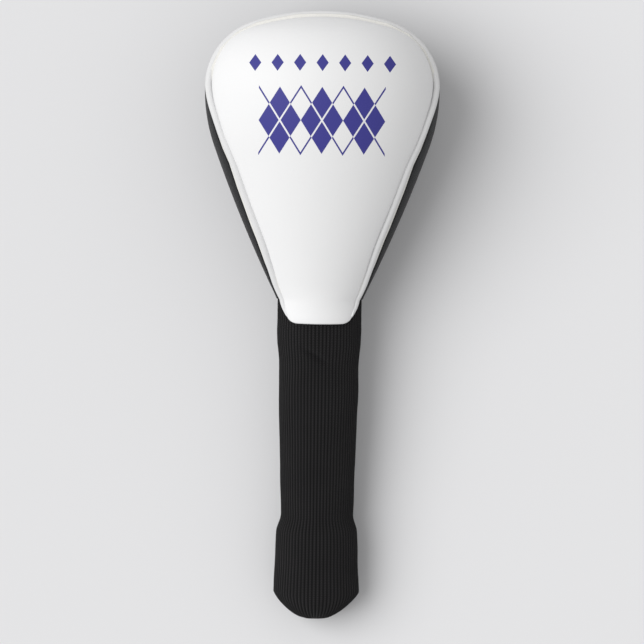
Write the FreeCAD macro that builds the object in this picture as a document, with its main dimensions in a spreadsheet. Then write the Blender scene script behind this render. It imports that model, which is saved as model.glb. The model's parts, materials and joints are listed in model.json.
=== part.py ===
import FreeCAD, Part
import math
import os
import Sketcher
from FreeCAD import Placement, Rotation, Vector

# Padded head cover for a driver, with a rib-knit sock, lying on its back.
# Every piece is drawn about its own centre line, which is the local Y axis: the crown of the padded
# head lies towards +Y, the sock's mouth towards -Y, and the front panel faces +Z. The whole cover
# leans a few degrees about X, so that both the back of the head and the cuff touch the ground, Z = 0.

DOC = FreeCAD.newDocument("driver_head_cover")

# Driving sizes, in millimetres and degrees: name, value, what it is
DRIVING = [
    ("half_width", 66.2, "half the padded head's greatest width"),
    ("flatness", 0.74, "the head's thickness as a share of its width"),
    ("widest_at", 128, "where the head is widest, along the centre line"),
    ("crown_radius", 126, "bend of the crown's middle"),
    ("shoulder_radius", 40, "bend of the crown's two shoulders"),
    ("belly_radius", 95, "bend of the sides just below the widest place"),
    ("belly_turn", 19.5, "angle that the sides turn through there"),
    ("taper_radius", 800, "slow bend of the long taper"),
    ("neck_at", 10.3, "where the side and back panels end"),
    ("tongue_length", 15, "how far the front panel runs on over the knit"),
    ("tongue_half_width", 15.6, "half the tongue's width at its end"),
    ("tongue_corner", 4.2, "rounding of the tongue's two corners"),
    ("rest_depth", 0.4, "how far the back is pressed flat where it lies"),
    ("skin", 1.0, "thickness of the coated and woven covers"),
    ("foam", 3.8, "thickness of the foam under them"),
    ("lining", 1.2, "thickness of the brushed lining"),
    ("ply_gap", 0.3, "gap between two plies"),
    ("seam_crown", 9.5, "height of the side seam over the centre line at the crown"),
    ("seam_widest", 12.6, "its height where the head is widest"),
    ("seam_rise", 18.6, "its height where it nears the peak"),
    ("seam_peak", 20.8, "its height at the peak"),
    ("seam_taper", 15.4, "its height half way down the taper"),
    ("seam_neck", 8.9, "its height at the neck"),
    ("seam_tongue", 11.6, "its height at the tongue's end"),
    ("crown_from_widest", 22, "from the widest place up to where the seam runs level"),
    ("rise_from_widest", 14, "from the widest place down to the end of the climb"),
    ("peak_from_widest", 40, "from the widest place down to the peak"),
    ("taper_from_widest", 84, "from the widest place down to the half-way height"),
    ("piping_width", 4.6, "width of the piping"),
    ("piping_proud", 2.0, "how far the piping stands out of the head"),
    ("piping_depth", 2.4, "how far its seam allowance reaches in"),
    ("cord_width", 2.0, "height of the piping's filler cord along the seam's normal"),
    ("cord_depth", 1.8, "its size across the seam"),
    ("cord_gap", 0.25, "gap round the filler cord"),
    ("back_seam", 5.6, "width of the tape behind the centre seam"),
    ("sock_flatness", 0.67, "the sock's thickness as a share of its width"),
    ("knit", 1.3, "thickness of the rib knit"),
    ("rib", 0.018, "depth of the ribs as a share of the sock's half width"),
    ("knit_tuck", 0.7, "how much smaller the knit is than the neck it is sewn into"),
    ("sock_fold_at", 16.5, "how far below the origin the sock starts to narrow"),
    ("sock_narrowing", 0.0285, "how much narrower the sock is there than at its top"),
    ("neck_end_at", 40, "how far below the origin its folding stretch ends"),
    ("sock_end_at", 113, "how far below the origin the sock meets the cuff"),
    ("waist_radius", 20.5, "the sock's half width there"),
    ("band_width", 16.5, "width of the tape that joins head and sock"),
    ("band", 1.2, "its thickness"),
    ("elastic", 1.2, "thickness of the neck elastic"),
    ("elastic_width", 9, "width of the neck elastic"),
    ("cuff_rise", 14.4, "length over which the cuff swells"),
    ("cuff_shoulder_radius", 23.2, "the cuff's half width where the swell ends"),
    ("cuff_radius", 24.4, "the cuff's greatest half width"),
    ("cuff_straight", 29, "length of the full part of the cuff"),
    ("cuff_dome", 10.4, "length over which the cuff closes"),
    ("hem_start", 4, "how far inside the cuff the turned-in hem starts"),
    ("mouth_bore", 6.6, "radius of the mouth, drawn in by its elastic"),
    ("mouth_outer", 9.2, "outside radius of the gathered mouth"),
    ("mouth_lip", 1.4, "rounding of its outer end"),
    ("mouth_length", 11.4, "length of the gathered mouth"),
    ("mouth_stand_out", 5.3, "how far it stands out of the cuff"),
]

# Sizes that follow from the driving ones
DERIVED = [
    ("crown_drop", "sqrt((crown_radius - shoulder_radius)^2 - (half_width - shoulder_radius)^2)"),
    ("crown_at", "widest_at + crown_radius - crown_drop"),
    ("taper_out", "half_width - belly_radius + (belly_radius - taper_radius) * cos(belly_turn)"),
    ("taper_mid_at", "widest_at - (belly_radius - taper_radius) * sin(belly_turn)"),
    ("neck_radius", "taper_out + sqrt(taper_radius^2 - (taper_mid_at - neck_at)^2)"),
    ("tongue_end", "neck_at - tongue_length"),
    ("tongue_turn_at", "tongue_end + tongue_corner"),
    ("tongue_turn_out", "tongue_half_width - tongue_corner"),
    ("seam_crown_at", "widest_at + crown_from_widest"),
    ("seam_rise_at", "widest_at - rise_from_widest"),
    ("seam_peak_at", "widest_at - peak_from_widest"),
    ("seam_taper_at", "widest_at - taper_from_widest"),
    ("foam_out", "skin + ply_gap"),
    ("foam_in", "foam_out + foam"),
    ("lining_out", "foam_in + ply_gap"),
    ("lining_in", "lining_out + lining"),
    ("piping_out", "-piping_proud"),
    ("cord_out", "-cord_width / 2 + ply_gap"),
    ("cord_in", "cord_width / 2 + ply_gap"),
    ("channel_out", "cord_out - cord_gap"),
    ("channel_in", "cord_in + cord_gap"),
    ("tape_out", "piping_depth + ply_gap"),
    ("over_seam", "piping_width / 2 + ply_gap"),
    ("under_seam", "-over_seam"),
    ("over_joint", "ply_gap / 2"),
    ("under_joint", "-over_joint"),
    ("piping_top", "piping_width / 2"),
    ("piping_foot", "-piping_top"),
    ("cord_top", "cord_depth / 2"),
    ("cord_foot", "-cord_top"),
    ("channel_top", "cord_top + cord_gap"),
    ("channel_foot", "-channel_top"),
    ("right_from", "ply_gap / 2"),
    ("right_foam_from", "back_seam / 2 + ply_gap"),
    ("back_tape_from", "-back_seam / 2"),
    ("knit_top", "neck_at - ply_gap"),
    ("knit_top_radius", "neck_radius - knit_tuck"),
    ("sock_shoulder_radius", "knit_top_radius - sock_narrowing"),
    ("cuff_top_at", "sock_end_at + ply_gap"),
    ("cuff_shoulder_at", "cuff_top_at + cuff_rise"),
    ("cuff_full_at", "cuff_shoulder_at + cuff_straight"),
    ("cuff_end_at", "cuff_full_at + cuff_dome"),
    ("cuff_hole", "(mouth_outer + ply_gap) / sock_flatness + knit"),
    ("mouth_end_at", "cuff_end_at + mouth_stand_out"),
    ("reach", "2 * (crown_at + mouth_end_at)"),
    ("no_reach", "-reach"),
    ("ground", "0 * reach"),
    ("left_from", "-ply_gap / 2 - 2 * reach"),
    ("left_foam_from", "-right_foam_from - 2 * reach"),
    ("rough_lean", "atan((flatness * half_width - sock_flatness * cuff_radius)"
                   " / (widest_at + cuff_full_at))"),
    ("contact_turn", "atan(tan(rough_lean) / flatness)"),
    ("contact_out", "half_width - belly_radius + belly_radius * cos(contact_turn)"),
    ("contact_at", "widest_at - belly_radius * sin(contact_turn)"),
    ("lean", "atan((flatness * contact_out - sock_flatness * cuff_radius - rest_depth)"
             " / (contact_at + cuff_full_at))"),
    ("lift", "flatness * contact_out * cos(lean) - contact_at * sin(lean) - rest_depth"),
]

# Rings of each stretch of the head's outline, and corners of each ring
TAPER_RINGS = 4
BELLY_RINGS = 3
SHOULDER_RINGS = 4
CROWN_RINGS = 2
RING_CORNERS = 36
SWELL_RINGS = 4
DOME_RINGS = 4


def write_sizes():
    """Put the driving and the derived sizes in the sheet, each with its name."""
    sheet = DOC.addObject("Spreadsheet::Sheet", "Sizes")
    row = 1
    for name, value, meaning in DRIVING:
        sheet.set("A%d" % row, meaning)
        sheet.set("B%d" % row, str(value))
        sheet.setAlias("B%d" % row, name)
        row += 1
    for name, formula in DERIVED:
        sheet.set("A%d" % row, name.replace("_", " "))
        sheet.setAlias("B%d" % row, name)
        sheet.set("B%d" % row, "=" + formula)
        row += 1
    DOC.recompute()
    return sheet


SHEET = write_sizes()


def size(name):
    """A size's value, read back from the sheet."""
    value = SHEET.get(name)
    return float(getattr(value, "Value", value))


def lean_back(thing):
    """Give a piece drawn about the centre line its place on the ground."""
    thing.Placement = Placement(Vector(0, 0, size("lift")), Rotation(Vector(1, 0, 0), size("lean")))
    thing.setExpression("Placement.Base.z", "Sizes.lift")
    thing.setExpression("Placement.Rotation.Angle", "Sizes.lean")
    return thing


def ring(at, half_width, flat):
    """Corners of a smooth ring about the centre line."""
    turns = [2 * math.pi * k / RING_CORNERS for k in range(RING_CORNERS)]
    return [Vector(half_width * math.cos(a), at, flat * half_width * math.sin(a)) for a in turns]


def ribbed_ring(at, half_width, flat):
    """Corners of a ring of rib knit: every other corner lies in a groove."""
    groove = half_width * (1 - size("rib"))
    corners = []
    for k in range(2 * RING_CORNERS):
        turn = math.pi * k / RING_CORNERS
        reach = groove if k % 2 else half_width
        corners.append(Vector(reach * math.cos(turn), at, flat * reach * math.sin(turn)))
    return corners


def flat_face(corners):
    """A flat face through corners given in order."""
    return Part.Face(Part.makePolygon(corners + [corners[0]]))


def walls(rings):
    """Flat facets through like rings; a last ring of one corner is a point."""
    faces = []
    for low, high in zip(rings, rings[1:]):
        for k in range(len(low)):
            n = (k + 1) % len(low)
            far_side = [high[0]] if len(high) == 1 else [high[n], high[k]]
            faces.append(flat_face([low[k], low[n]] + far_side))
    return faces


def rim_face(outer, inner):
    """The flat rim between an outer and an inner ring in one plane."""
    wires = [Part.makePolygon(corners + [corners[0]]) for corners in (outer, inner)]
    return Part.makeFace(wires, "Part::FaceMakerBullseye")


def hollow_form(name, outside, inside):
    """A hollow piece between outside and inside rings that start, and end, in one plane."""
    faces = walls(outside) + walls(inside) + [rim_face(outside[0], inside[0])]
    if len(outside[-1]) > 1:
        faces.append(rim_face(outside[-1], inside[-1]))
    solid = Part.Solid(Part.Shell(faces))
    if solid.Volume < 0:
        solid.reverse()
    thing = DOC.addObject("Part::Feature", name)
    thing.Shape = solid
    return lean_back(thing)


def common(name, first, second):
    """What two pieces share."""
    both = DOC.addObject("Part::Common", name)
    both.Base = first
    both.Tool = second
    return both


def cut(name, first, second):
    """One piece less another."""
    rest = DOC.addObject("Part::Cut", name)
    rest.Base = first
    rest.Tool = second
    return rest


def half_space(name, axis, start):
    """A large box that begins at a named size along one axis of the ground's frame."""
    box = DOC.addObject("Part::Box", name)
    for side in ("Length", "Width", "Height"):
        box.setExpression(side, "2 * Sizes.reach")
    for other in "xyz":
        box.setExpression("Placement.Base." + other, "Sizes." + (start if other == axis else "no_reach"))
    return box


# The padded head

def head_outline(inset):
    """Place and half width of each ring of the head, at a depth under its surface."""
    shoulder_out = size("half_width") - size("shoulder_radius")
    shoulder_turn = math.atan2(size("crown_drop"), shoulder_out)
    belly_turn = math.radians(size("belly_turn"))
    taper = size("taper_radius") - inset
    neck_turn = math.asin((size("taper_mid_at") - size("neck_at")) / taper)
    widest_at = size("widest_at")
    belly_out = size("half_width") - size("belly_radius")
    arcs = [
        (size("taper_out"), size("taper_mid_at"), taper, -neck_turn, -belly_turn, TAPER_RINGS),
        (belly_out, widest_at, size("belly_radius") - inset, -belly_turn, 0.0, BELLY_RINGS),
        (shoulder_out, widest_at, size("shoulder_radius") - inset, 0.0, shoulder_turn, SHOULDER_RINGS),
        (0.0, widest_at - size("crown_drop"), size("crown_radius") - inset,
         shoulder_turn, math.pi / 2, CROWN_RINGS),
    ]
    outline = []
    for out, at, radius, start, end, count in arcs:
        for k in range(count):
            turn = start + (end - start) * k / count
            outline.append((at + radius * math.sin(turn), out + radius * math.cos(turn)))
    return outline


def head_rings(depth, end):
    """The head's rings at a depth under its surface, from a straight stretch that runs on to end."""
    flat = size("flatness")
    outline = head_outline(depth)
    rings = [ring(at, half_width, flat) for at, half_width in outline[1:]]
    rings.insert(0, ring(size("neck_at"), outline[0][1], flat))
    if end < size("neck_at"):
        rings.insert(0, ring(end, outline[0][1], flat))
    rings.append([Vector(0, size("crown_at") - depth, 0)])
    return rings


def ply(name, outer, inner, end="neck_at"):
    """One layer of the head between two depths, open at the neck."""
    return hollow_form(name, head_rings(size(outer), size(end)), head_rings(size(inner), size(end)))


SEAM_LINE = [
    ("no_reach", "seam_tongue"),
    ("tongue_end", "seam_tongue"),
    ("neck_at", "seam_neck"),
    ("seam_taper_at", "seam_taper"),
    ("seam_peak_at", "seam_peak"),
    ("seam_rise_at", "seam_rise"),
    ("widest_at", "seam_widest"),
    ("seam_crown_at", "seam_crown"),
    ("reach", "seam_crown"),
]


def closed_outline(name, corners):
    """A sketch of straight lines through corners whose places are formulas of the sheet's sizes."""
    sketch = DOC.addObject("Sketcher::SketchObject", name)
    spots = [Vector(sum(size(word) for word in across), sum(size(word) for word in up), 0)
             for across, up in corners]
    count = len(corners)
    for k in range(count):
        sketch.addGeometry(Part.LineSegment(spots[k], spots[(k + 1) % count]), False)
    for k in range(count):
        sketch.addConstraint(Sketcher.Constraint("Coincident", k, 2, (k + 1) % count, 1))
    for k, (across, up) in enumerate(corners):
        for kind, words, value in (("DistanceX", across, spots[k].x), ("DistanceY", up, spots[k].y)):
            number = sketch.addConstraint(Sketcher.Constraint(kind, -1, 1, k, 1, value))
            sketch.setExpression("Constraints[%d]" % number, " + ".join("Sizes." + word for word in words))
    return sketch


def seam_tool(name, low, high):
    """All that lies between two heights over the side seam's line; None is far away."""
    lower = [((at,), (height, low)) for at, height in SEAM_LINE]
    upper = [((at,), (height, high)) for at, height in SEAM_LINE[::-1]]
    if low is None:
        lower = [(("no_reach",), ("no_reach",)), (("reach",), ("no_reach",))]
    if high is None:
        upper = [(("reach",), ("reach",)), (("no_reach",), ("reach",))]
    sketch = closed_outline(name + "_outline", lower + upper)
    sketch.Placement = Placement(Vector(0, 0, 0), Rotation(Vector(1, 1, 1), 120))
    tool = DOC.addObject("Part::Extrusion", name)
    tool.Base = sketch
    tool.DirMode = "Normal"
    tool.setExpression("LengthFwd", "2 * Sizes.reach")
    tool.Symmetric = True
    tool.Solid = True
    return lean_back(tool)


def tongue_tool():
    """All that lies above the tongue's rounded end, seen from the front."""
    turn_at, out = size("tongue_turn_at"), size("tongue_turn_out")
    corner, far = size("tongue_corner"), size("reach")
    sketch = DOC.addObject("Sketcher::SketchObject", "tongue_outline")
    spots = [(-far, far), (-far, turn_at), (-out - corner, turn_at), (-out, turn_at - corner),
             (out, turn_at - corner), (out + corner, turn_at), (far, turn_at), (far, far)]
    spots = [Vector(across, up, 0) for across, up in spots]
    for k in (0, 1, 3, 5, 6, 7):
        sketch.addGeometry(Part.LineSegment(spots[k], spots[(k + 1) % 8]), False)
    for side, start in ((-1, math.pi), (1, 1.5 * math.pi)):
        middle = Part.Circle(Vector(side * out, turn_at, 0), Vector(0, 0, 1), corner)
        sketch.addGeometry(Part.ArcOfCircle(middle, start, start + math.pi / 2), False)
    left, right = 6, 7
    joins = [(0, 2, 1, 1), (1, 2, left, 1), (left, 2, 2, 1), (2, 2, right, 1), (right, 2, 3, 1),
             (3, 2, 4, 1), (4, 2, 5, 1), (5, 2, 0, 1)]
    for first, first_end, second, second_end in joins:
        sketch.addConstraint(Sketcher.Constraint("Coincident", first, first_end, second, second_end))
    for line in (1, 3, 5):
        sketch.addConstraint(Sketcher.Constraint("Horizontal", line))
    for line in (0, 4):
        sketch.addConstraint(Sketcher.Constraint("Vertical", line))
    for arc, low_end in ((left, 2), (right, 1)):
        sketch.addConstraint(Sketcher.Constraint("Vertical", arc, 3, arc, low_end))
    ties = [
        ("DistanceX", (left, 3, -1, 1), out, "Sizes.tongue_turn_out"),
        ("DistanceX", (-1, 1, right, 3), out, "Sizes.tongue_turn_out"),
        ("DistanceY", (-1, 1, right, 3), turn_at, "Sizes.tongue_turn_at"),
        ("DistanceY", (-1, 1, left, 3), turn_at, "Sizes.tongue_turn_at"),
        ("Radius", (left,), corner, "Sizes.tongue_corner"),
        ("Radius", (right,), corner, "Sizes.tongue_corner"),
        ("DistanceY", (-1, 1, 1, 2), turn_at, "Sizes.tongue_turn_at"),
        ("DistanceY", (-1, 1, 3, 1), turn_at, "Sizes.tongue_turn_at"),
        ("DistanceX", (0, 1, -1, 1), far, "Sizes.reach"),
        ("DistanceX", (-1, 1, 4, 1), far, "Sizes.reach"),
        ("DistanceY", (-1, 1, 4, 2), far, "Sizes.reach"),
    ]
    for kind, ends, value, formula in ties:
        number = sketch.addConstraint(Sketcher.Constraint(kind, *ends, value))
        sketch.setExpression("Constraints[%d]" % number, formula)
    tool = DOC.addObject("Part::Extrusion", "tongue_tool")
    tool.Base = sketch
    tool.DirMode = "Normal"
    tool.setExpression("LengthFwd", "Sizes.reach")
    tool.Solid = True
    return lean_back(tool)


def build_head():
    """Covers, foam, linings, tapes and piping of the padded head."""
    over_seam = seam_tool("over_seam_tool", "over_seam", None)
    under_seam = seam_tool("under_seam_tool", None, "under_seam")
    over_joint = seam_tool("over_joint_tool", "over_joint", None)
    under_joint = seam_tool("under_joint_tool", None, "under_joint")
    piping_slab = seam_tool("piping_slab", "piping_foot", "piping_top")
    channel_slab = seam_tool("channel_slab", "channel_foot", "channel_top")
    cord_slab = seam_tool("cord_slab", "cord_foot", "cord_top")
    right = half_space("right_tool", "x", "right_from")
    left = half_space("left_tool", "x", "left_from")
    right_foam = half_space("right_foam_tool", "x", "right_foam_from")
    left_foam = half_space("left_foam_tool", "x", "left_foam_from")
    back_strip = half_space("back_strip_tool", "x", "back_tape_from")
    back_strip.setExpression("Length", "Sizes.back_seam")

    front = common("front_cover", ply("front_ply", "ground", "skin", "tongue_end"), over_seam)
    pressed = common("pressed_ply", ply("back_ply", "ground", "skin"), half_space("ground_tool", "z", "ground"))
    back = common("back_cover", pressed, under_seam)
    padding = ply("padding_ply", "foam_out", "foam_in")
    back_foam = common("back_foam", padding, under_seam)
    lining = ply("lining_ply", "lining_out", "lining_in")
    back_lining = common("back_lining", lining, under_joint)
    shell = common("piping_shell", ply("piping_ply", "piping_out", "piping_depth"), piping_slab)
    channel_ply = ply("channel_ply", "channel_out", "channel_in", "tongue_end")
    channel = common("piping_channel", channel_ply, channel_slab)

    return [
        common("front_panel", front, tongue_tool()),
        common("front_padding", padding, over_seam),
        common("front_lining", lining, over_joint),
        common("back_panel_left", back, left),
        common("back_panel_right", back, right),
        common("back_padding_left", back_foam, left_foam),
        common("back_padding_right", back_foam, right_foam),
        common("back_lining_left", back_lining, left),
        common("back_lining_right", back_lining, right),
        common("back_seam_tape", back_foam, back_strip),
        cut("piping_cover", shell, channel),
        common("piping_cord", ply("cord_ply", "cord_out", "cord_in"), cord_slab),
        common("side_seam_tape", ply("tape_ply", "tape_out", "foam_in"), piping_slab),
    ]


# The knitted sock

def sock_radius(down):
    """Half width of the sock at a distance below the origin."""
    start, end = size("sock_fold_at"), size("sock_end_at")
    share = (down - start) / (end - start)
    return size("sock_shoulder_radius") + (size("waist_radius") - size("sock_shoulder_radius")) * share


def tube(name, outside, inside, ribbed=True):
    """A tube of knit or tape between stations of place and half width, listed from the mouth up."""
    flat = size("sock_flatness")
    outer_ring = ribbed_ring if ribbed else ring
    return hollow_form(name, [outer_ring(at, half_width, flat) for at, half_width in outside],
                       [ring(at, half_width, flat) for at, half_width in inside])


def thinner(stations, wall):
    """The same stations further in by a wall."""
    return [(at, half_width - wall) for at, half_width in stations]


def hoop(name, low, high, half_width, wall):
    """A plain flat hoop of tape or elastic."""
    outside = [(low, half_width), (high, half_width)]
    return tube(name, outside, thinner(outside, wall), ribbed=False)


def build_neck():
    """The folding stretch of the sock, and the tape and elastic inside its top."""
    knit_top, gap = size("knit_top"), size("ply_gap")
    stations = [
        (-size("neck_end_at"), sock_radius(size("neck_end_at"))),
        (-size("sock_fold_at"), size("sock_shoulder_radius")),
        (knit_top, size("knit_top_radius")),
    ]
    band_radius = size("knit_top_radius") - size("knit") - gap
    band_low = knit_top - size("band_width")
    elastic_low = (knit_top + band_low - size("elastic_width")) / 2
    elastic_radius = band_radius - size("band") - gap
    return [
        tube("sock_neck", stations, thinner(stations, size("knit"))),
        hoop("neck_band", band_low, knit_top, band_radius, size("band")),
        hoop("neck_elastic", elastic_low, elastic_low + size("elastic_width"), elastic_radius, size("elastic")),
    ]


def build_sock():
    """The straight stretch of the sock, which gathers when the cuff is pulled up."""
    top = size("neck_end_at") + size("ply_gap")
    stations = [(-size("sock_end_at"), size("waist_radius")), (-top, sock_radius(top))]
    return [tube("sock_tube", stations, thinner(stations, size("knit")))]


def cuff_stations(depth):
    """Place and half width down the cuff, at a depth under its surface, from the top to its hole."""
    top, shoulder, full = size("cuff_top_at"), size("cuff_shoulder_at"), size("cuff_full_at")
    waist, mid = size("waist_radius"), size("cuff_shoulder_radius")
    widest, hole = size("cuff_radius"), size("cuff_hole")
    stations = []
    for k in range(SWELL_RINGS):
        share = k / SWELL_RINGS
        swell = (1 - math.cos(math.pi * share)) / 2
        stations.append((-top - (shoulder - top) * share, waist + (mid - waist) * swell - depth))
    stations.append((-shoulder, mid - depth))
    for k in range(DOME_RINGS + 1):
        turn = math.pi / 2 * k / DOME_RINGS
        at = -full - (size("cuff_dome") - depth) * math.sin(turn)
        stations.append((at, hole + (widest - hole) * math.cos(turn) - depth))
    return stations


def build_cuff():
    """The doubled cuff: the outer knit, the hem turned in behind it and the elastic mouth."""
    knit, gap = size("knit"), size("ply_gap")
    outside, inside = cuff_stations(0.0)[::-1], cuff_stations(knit)[::-1]
    inside.insert(0, (outside[0][0], inside[0][1]))
    hem_top = -size("cuff_top_at") - size("hem_start")
    hem = [(at, half_width) for at, half_width in cuff_stations(knit + gap)
           if -size("cuff_full_at") <= at <= hem_top][::-1]
    return [
        tube("cuff_outer", outside, inside),
        tube("cuff_inner", hem, thinner(hem, knit), ribbed=False),
        build_mouth(),
    ]


def build_mouth():
    """The gathered mouth: a ring turned about the centre line, with a rounded lip."""
    body = DOC.addObject("PartDesign::Body", "mouth_elastic")
    sketch = body.newObject("Sketcher::SketchObject", "mouth_profile")
    plane = [part for part in body.Origin.OriginFeatures if part.Role == "XY_Plane"][0]
    sketch.AttachmentSupport = [(plane, "")]
    sketch.MapMode = "FlatFace"
    bore, outer, lip = size("mouth_bore"), size("mouth_outer"), size("mouth_lip")
    end = -size("mouth_end_at")
    top = end + size("mouth_length")
    spots = [(bore, end), (outer - lip, end), (outer, end + lip), (outer, top), (bore, top)]
    spots = [Vector(across, up, 0) for across, up in spots]
    for k in range(5):
        sketch.addGeometry(Part.LineSegment(spots[k], spots[(k + 1) % 5]), False)
    for k in range(5):
        sketch.addConstraint(Sketcher.Constraint("Coincident", k, 2, (k + 1) % 5, 1))
    for line in (0, 3):
        sketch.addConstraint(Sketcher.Constraint("Horizontal", line))
    for line in (2, 4):
        sketch.addConstraint(Sketcher.Constraint("Vertical", line))
    ties = [
        ("DistanceX", (-1, 1, 0, 1), bore, "Sizes.mouth_bore"),
        ("DistanceX", (-1, 1, 2, 1), outer, "Sizes.mouth_outer"),
        ("DistanceY", (0, 1, -1, 1), -end, "Sizes.mouth_end_at"),
        ("DistanceY", (0, 1, 3, 1), top - end, "Sizes.mouth_length"),
        ("DistanceX", (0, 2, 2, 1), lip, "Sizes.mouth_lip"),
        ("DistanceY", (0, 2, 2, 1), lip, "Sizes.mouth_lip"),
    ]
    for kind, ends, value, formula in ties:
        number = sketch.addConstraint(Sketcher.Constraint(kind, *ends, value))
        sketch.setExpression("Constraints[%d]" % number, formula)
    turned = body.newObject("PartDesign::Revolution", "mouth_ring")
    turned.Profile = sketch
    turned.ReferenceAxis = (sketch, ["V_Axis"])
    turned.Angle = 360
    body.Tip = turned
    return lean_back(body)


def check(pieces):
    """Stop if any object failed, or any piece is not one valid solid."""
    failed = [thing.Name for thing in DOC.Objects if "Invalid" in thing.State or "Error" in thing.State]
    if failed:
        raise RuntimeError("failed objects: " + ", ".join(failed))
    for piece in pieces:
        shape = piece.Shape
        if shape.isNull() or not shape.isValid() or len(shape.Solids) != 1 or shape.Volume <= 0:
            raise RuntimeError("bad solid: %s, %d solids" % (piece.Label, len(shape.Solids)))


def main():
    """Build every piece, check it and write it to its own file."""
    pieces = build_head() + build_neck() + build_sock() + build_cuff()
    DOC.recompute()
    check(pieces)
    os.makedirs("parts", exist_ok=True)
    for piece in pieces:
        piece.Shape.exportStep("parts/%s.step" % piece.Label)


main()
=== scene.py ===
"""A padded head cover for a driver: white coated front, black woven back, piping and a rib-knit sock."""
import json
import logging
import math
from dataclasses import dataclass, field
from enum import Enum
from typing import Callable, NamedTuple, Optional, Sequence

import bmesh
import bpy
import numpy as np
from mathutils import Matrix, Vector, noise

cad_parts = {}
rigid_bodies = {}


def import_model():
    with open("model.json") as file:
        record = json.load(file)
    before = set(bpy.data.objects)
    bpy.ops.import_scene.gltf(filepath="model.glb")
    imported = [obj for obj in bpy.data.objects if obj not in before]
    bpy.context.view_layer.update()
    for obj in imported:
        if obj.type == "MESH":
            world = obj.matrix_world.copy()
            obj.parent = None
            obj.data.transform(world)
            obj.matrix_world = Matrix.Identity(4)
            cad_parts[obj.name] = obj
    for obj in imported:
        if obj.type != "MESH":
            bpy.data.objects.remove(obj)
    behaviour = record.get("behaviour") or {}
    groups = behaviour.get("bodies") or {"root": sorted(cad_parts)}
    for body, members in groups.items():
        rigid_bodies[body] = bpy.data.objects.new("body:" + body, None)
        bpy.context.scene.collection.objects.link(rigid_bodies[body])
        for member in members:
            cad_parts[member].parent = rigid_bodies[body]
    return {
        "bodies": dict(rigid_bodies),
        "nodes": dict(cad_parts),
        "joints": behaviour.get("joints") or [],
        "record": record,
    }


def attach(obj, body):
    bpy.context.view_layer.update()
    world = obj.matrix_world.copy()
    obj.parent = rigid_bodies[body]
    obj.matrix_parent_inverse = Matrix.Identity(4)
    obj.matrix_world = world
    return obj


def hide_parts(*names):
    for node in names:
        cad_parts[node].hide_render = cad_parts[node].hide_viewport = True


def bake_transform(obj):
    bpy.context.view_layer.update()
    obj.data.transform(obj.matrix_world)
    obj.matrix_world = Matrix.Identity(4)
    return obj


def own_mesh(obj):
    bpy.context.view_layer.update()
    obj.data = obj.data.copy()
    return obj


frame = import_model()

LOG = logging.getLogger("head_cover")
MM = 0.001
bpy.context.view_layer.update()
EASE_STEPS = np.linspace(-1, 1, 9)


class Part(Enum):
    """The three stiff stretches of the cover, named as the frame names them."""

    HEAD = "head"
    SOCK = "sock"
    CUFF = "cuff"


@dataclass(frozen=True)
class CentreLine:
    """The line that every piece is drawn about: it leans back so that head and cuff both touch the ground."""

    lean: float
    lift: float

    @classmethod
    def from_frame(cls, packed: dict) -> "CentreLine":
        """Read the line from the frame's joints.


        Returns:
            The line, from the gather's direction and the place of the neck's hinge.
        """
        joints = {joint["name"]: joint for joint in packed["joints"]}
        along = Vector(joints["cuff_gather"]["axis"]).normalized()
        hinge = Vector(joints["neck_swing"]["pos_m"])
        return cls(lean=math.atan2(along.z, along.y), lift=hinge.z - hinge.y * along.z / along.y)

    @property
    def matrix(self) -> Matrix:
        """From the line's own frame to the ground's."""
        return Matrix.Translation((0, 0, self.lift)) @ Matrix.Rotation(self.lean, 4, "X")

    @property
    def direction(self) -> Vector:
        """The way from the mouth to the crown."""
        return Vector((0, math.cos(self.lean), math.sin(self.lean)))

    def at(self, distance: float) -> Vector:
        """A point on the line, at a distance from its origin."""
        return self.matrix @ Vector((0, distance, 0))


LINE = CentreLine.from_frame(frame)


def smooth_step(share: np.ndarray) -> np.ndarray:
    """Ease from 0 to 1 as a share goes from 0 to 1."""
    share = np.clip(share, 0.0, 1.0)
    return share * share * (3 - 2 * share)


def by_place(at: np.ndarray, table: tuple) -> np.ndarray:
    """Read a size, in metres, off pairs of place and size in millimetres."""
    places, sizes = zip(*table)
    return np.interp(at / MM, places, sizes) * MM


def resample(points: np.ndarray, count: int) -> np.ndarray:
    """Spread points evenly along a line through given ones.

    Args:
        points: corners of the line, one to a row.
        count: how many points to return.

    Returns:
        The new points, ends included.
    """
    steps = np.linalg.norm(np.diff(points, axis=0), axis=1)
    reach = np.concatenate([[0.0], np.cumsum(steps)])
    wanted = np.linspace(0.0, reach[-1], count)
    return np.stack([np.interp(wanted, reach, column) for column in points.T], axis=1)


def spots_along(line: np.ndarray, share: np.ndarray) -> np.ndarray:
    """Points of an evenly spaced line, at shares of it."""
    shares = np.linspace(0, 1, len(line))
    return np.stack([np.interp(share, shares, column) for column in line.T], axis=1)


def coordinates(bm: bmesh.types.BMesh) -> np.ndarray:
    """Every vertex's place, one to a row."""
    bm.verts.ensure_lookup_table()
    return np.array([vert.co for vert in bm.verts], float)


def move_to(bm: bmesh.types.BMesh, places: np.ndarray) -> None:
    """Put every vertex at a new place."""
    for vert, place in zip(bm.verts, places):
        vert.co = place


def add_piece(name: str, bm: bmesh.types.BMesh, finish: "Finish") -> bpy.types.Object:
    """Turn a mesh drawn about the centre line into a smooth-shaded object with one finish.

    Args:
        name: the object's name.
        bm: the mesh, which is used up.
        finish: what it is covered in.

    Returns:
        The object, with its origin at the ground's.
    """
    bmesh.ops.transform(bm, matrix=LINE.matrix, space=Matrix.Identity(4), verts=bm.verts)
    mesh = bpy.data.meshes.new(name)
    bm.to_mesh(mesh)
    bm.free()
    mesh.polygons.foreach_set("use_smooth", [True] * len(mesh.polygons))
    mesh.materials.append(finish.material())
    piece = bpy.data.objects.new(name, mesh)
    bpy.context.scene.collection.objects.link(piece)
    return piece


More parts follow.
